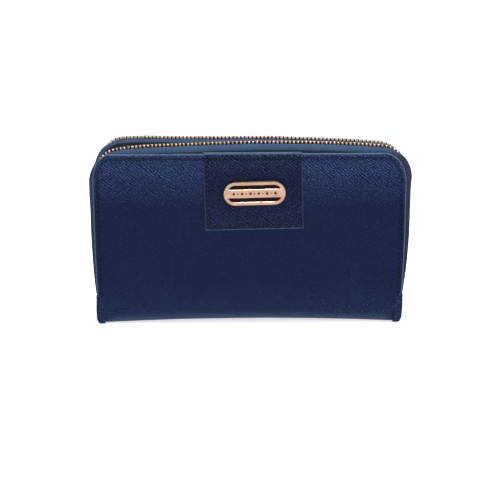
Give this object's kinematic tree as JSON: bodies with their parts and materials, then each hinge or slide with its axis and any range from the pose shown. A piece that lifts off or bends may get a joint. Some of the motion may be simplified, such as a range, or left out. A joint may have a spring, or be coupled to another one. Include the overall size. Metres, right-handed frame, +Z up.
{
  "type": "zip-around wallet",
  "caption": "Long double zip-around wallet standing on its spine: two hinged leather covers, a stiff divider, two metal zips round the edge, side gussets, card slots and a zipped coin pocket.",
  "frame": {"origin": "middle of the underside of the spine, on the surface the wallet stands on", "axes": "+X along the width, towards the side where both zips close; +Y through the depth, from the front cover to the back cover; +Z up"},
  "size_m": [0.2028, 0.0431, 0.1122],
  "materials": {
    "saffiano_leather": "fine cross-hatch grain, satin",
    "tab_leather": "fine cross-hatch grain, satin",
    "gusset_leather": "smooth, satin",
    "card_slot_leather": "smooth, satin",
    "lining_fabric": "fine twill",
    "zip_tape": "herringbone weave",
    "board": "matt",
    "zip_metal": "polished rose gold",
    "rose_gold_metal": "polished rose gold",
    "plate_inlay": "smooth, dark"
  },
  "bodies": {
    "spine_and_divider": {"back_gusset_left": "gusset_leather", "back_gusset_right": "gusset_leather", "back_zip_stops_divider_side": "zip_metal", "back_zip_tape_divider_side": "zip_tape", "back_zip_teeth_divider_side": "zip_metal", "coin_pocket_front_wall": "lining_fabric", "coin_pocket_side_wall": "lining_fabric", "coin_pocket_welt": "lining_fabric", "coin_zip_stops": "zip_metal", "coin_zip_tape_lower": "zip_tape", "coin_zip_tape_upper": "zip_tape", "coin_zip_teeth_lower": "zip_metal", "coin_zip_teeth_upper": "zip_metal", "divider_back_face": "lining_fabric", "divider_board": "board", "divider_edge_binding": "gusset_leather", "divider_front_face": "lining_fabric", "divider_slip_pocket": "lining_fabric", "front_gusset_left": "gusset_leather", "front_gusset_right": "gusset_leather", "front_zip_stops_divider_side": "zip_metal", "front_zip_tape_divider_side": "zip_tape", "front_zip_teeth_divider_side": "zip_metal", "spine_end_tab_left": "tab_leather", "spine_end_tab_right": "tab_leather", "spine_leather": "saffiano_leather", "spine_lining": "lining_fabric", "spine_stiffener": "board"},
    "front_cover": {"front_card_slot_row_1": "card_slot_leather", "front_card_slot_row_2": "card_slot_leather", "front_card_slot_row_3": "card_slot_leather", "front_card_slot_row_4": "card_slot_leather", "front_cover_board": "board", "front_cover_leather": "saffiano_leather", "front_cover_lining": "lining_fabric", "front_tab_leather": "tab_leather", "front_zip_stops_cover_side": "zip_metal", "front_zip_tape_cover_side": "zip_tape", "front_zip_teeth_cover_side": "zip_metal", "nameplate_frame": "rose_gold_metal", "nameplate_inlay": "plate_inlay", "nameplate_washer": "rose_gold_metal"},
    "back_cover": {"back_bill_pocket": "lining_fabric", "back_card_slot_row_1": "card_slot_leather", "back_card_slot_row_2": "card_slot_leather", "back_card_slot_row_3": "card_slot_leather", "back_cover_board": "board", "back_cover_leather": "saffiano_leather", "back_cover_lining": "lining_fabric", "back_zip_stops_cover_side": "zip_metal", "back_zip_tape_cover_side": "zip_tape", "back_zip_teeth_cover_side": "zip_metal"},
    "front_zip_slider": {"front_zip_slider_body": "zip_metal", "front_zip_slider_pin": "zip_metal"},
    "front_zip_pull": {"front_zip_pull_tab": "zip_metal"},
    "back_zip_slider": {"back_zip_slider_body": "zip_metal", "back_zip_slider_pin": "zip_metal"},
    "back_zip_pull": {"back_zip_pull_tab": "zip_metal"},
    "coin_zip_slider": {"coin_zip_slider_body": "zip_metal"},
    "coin_zip_pull": {"coin_zip_pull_tab": "zip_metal"}
  },
  "joints": [
    {"name": "front_cover_hinge", "type": "hinge", "parent": "spine_and_divider", "child": "front_cover", "pos_m": [0, -0.02, 0.00915], "axis": [1, 0, 0], "range_deg": [0, 60], "deforming": ["front_gusset_right", "front_gusset_left"]},
    {"name": "back_cover_hinge", "type": "hinge", "parent": "spine_and_divider", "child": "back_cover", "pos_m": [0, 0.02, 0.00915], "axis": [-1, 0, 0], "range_deg": [0, 60], "deforming": ["back_gusset_right", "back_gusset_left"]},
    {"name": "front_zip_slide", "type": "slide", "parent": "spine_and_divider", "child": "front_zip_slider", "axis": [0.1063, 0, 0.9943], "range_m": [0, 0.058], "deforming": ["front_zip_teeth_cover_side", "front_zip_teeth_divider_side"]},
    {"name": "front_pull_swing", "type": "hinge", "parent": "front_zip_slider", "child": "front_zip_pull", "pos_m": [0.09617, -0.0095, 0.02391], "axis": [0, -1, 0], "range_deg": [0, 150]},
    {"name": "back_zip_slide", "type": "slide", "parent": "spine_and_divider", "child": "back_zip_slider", "axis": [0.1063, 0, 0.9943], "range_m": [0, 0.058], "deforming": ["back_zip_teeth_cover_side", "back_zip_teeth_divider_side"]},
    {"name": "back_pull_swing", "type": "hinge", "parent": "back_zip_slider", "child": "back_zip_pull", "pos_m": [0.09617, 0.0095, 0.02391], "axis": [0, -1, 0], "range_deg": [0, 150]},
    {"name": "coin_zip_slide", "type": "slide", "parent": "spine_and_divider", "child": "coin_zip_slider", "axis": [-1, 0, 0], "range_m": [0, 0.108], "deforming": ["coin_zip_teeth_upper", "coin_zip_teeth_lower"]},
    {"name": "coin_pull_swing", "type": "hinge", "parent": "coin_zip_slider", "child": "coin_zip_pull", "pos_m": [0.0572, -0.00744, 0.084], "axis": [0, 1, 0], "range_deg": [-150, 150]}
  ]
}
